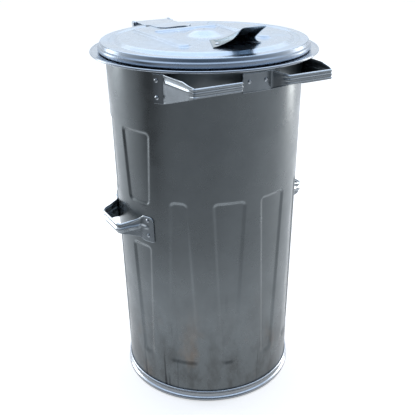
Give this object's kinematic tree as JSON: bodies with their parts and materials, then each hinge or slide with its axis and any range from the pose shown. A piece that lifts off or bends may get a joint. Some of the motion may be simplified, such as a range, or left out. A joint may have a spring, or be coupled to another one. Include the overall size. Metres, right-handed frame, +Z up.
{
  "type": "galvanized trash can with lid",
  "caption": "Tall tapered galvanized steel trash can with pressed flutes, a flanged mouth, a riveted front lifting strip, side handles and a lid hinged at the back.",
  "frame": {"origin": "centre of the foot ring's underside, on the floor, on the barrel's axis", "axes": "+Z up along the barrel, -Y towards the front with the lifting strip, +Y towards the lid's hinge, +X to the right seen from the front"},
  "size_m": [0.5045, 0.5385, 0.8828],
  "materials": {
    "galvanized_sheet": "satin",
    "galvanized_lid": "satin",
    "galvanized_strip": "satin",
    "galvanized_rings": "satin",
    "zinc_plated_hardware": "satin"
  },
  "bodies": {
    "bin": {"body_shell": "galvanized_sheet", "bottom_plate": "galvanized_sheet", "base_ring": "galvanized_rings", "collar_ring": "galvanized_rings", "neck_ring": "galvanized_rings", "lifting_strip": "galvanized_strip", "lifting_strip_rivets": "zinc_plated_hardware", "left_handle": "galvanized_strip", "right_handle": "galvanized_strip", "left_handle_rivets": "zinc_plated_hardware", "right_handle_rivets": "zinc_plated_hardware", "hinge_bracket": "galvanized_strip", "hinge_bracket_rivets": "zinc_plated_hardware", "hinge_pin": "zinc_plated_hardware", "hinge_washers": "zinc_plated_hardware", "split_pin": "zinc_plated_hardware"},
    "lid": {"lid_shell": "galvanized_lid", "lid_handle": "galvanized_strip", "lid_handle_rivets": "zinc_plated_hardware", "hinge_strap": "galvanized_strip"}
  },
  "joints": [
    {"name": "lid_hinge", "type": "hinge", "parent": "bin", "child": "lid", "pos_m": [0, 0.274, 0.82857], "axis": [-1, 0, 0], "range_deg": [0, 268]}
  ]
}
